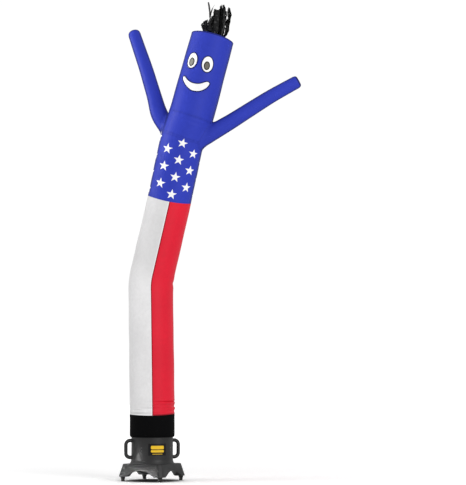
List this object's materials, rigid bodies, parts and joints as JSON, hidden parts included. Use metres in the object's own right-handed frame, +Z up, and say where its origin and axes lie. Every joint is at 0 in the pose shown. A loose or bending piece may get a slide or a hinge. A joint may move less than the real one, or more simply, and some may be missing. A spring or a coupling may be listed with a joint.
{
  "type": "inflatable air dancer on a blower",
  "caption": "Tall leaning fabric tube with a smiling head, loose black hair and two raised arms, held up on a round blower with grips and a four-legged square base.",
  "frame": {"origin": "on the floor, under the middle of the box round the whole object", "axes": "+Z up from the floor along the figure's height; -Y to the blower's label and the side the face looks to; +X to the right of someone who faces the label, the way the figure leans"},
  "size_m": [1.1206, 0.8096, 3.2636],
  "materials": {
    "black_webbing": "matte",
    "white_nylon": "satin",
    "red_nylon": "satin",
    "blue_nylon": "satin",
    "black_satin": "satin",
    "grey_nylon": "matte",
    "moulded_plastic": "pebbled matte",
    "foot_rubber": "matte",
    "label_film": "satin"
  },
  "bodies": {
    "root": {"cuff": "black_webbing", "body_white": "white_nylon", "body_red": "red_nylon", "star_band": "blue_nylon", "torso": "blue_nylon", "arm_left": "blue_nylon", "arm_right": "blue_nylon", "head": "blue_nylon", "crown": "blue_nylon", "hair": "black_satin", "eye_left": "white_nylon", "eye_right": "white_nylon", "pupil_left": "grey_nylon", "pupil_right": "grey_nylon", "smile": "white_nylon", "housing": "moulded_plastic", "base": "moulded_plastic", "handle_left": "moulded_plastic", "handle_right": "moulded_plastic", "foot_front": "foot_rubber", "foot_right": "foot_rubber", "foot_back": "foot_rubber", "foot_left": "foot_rubber", "label": "label_film", "cord_gland": "foot_rubber"}
  },
  "joints": []
}
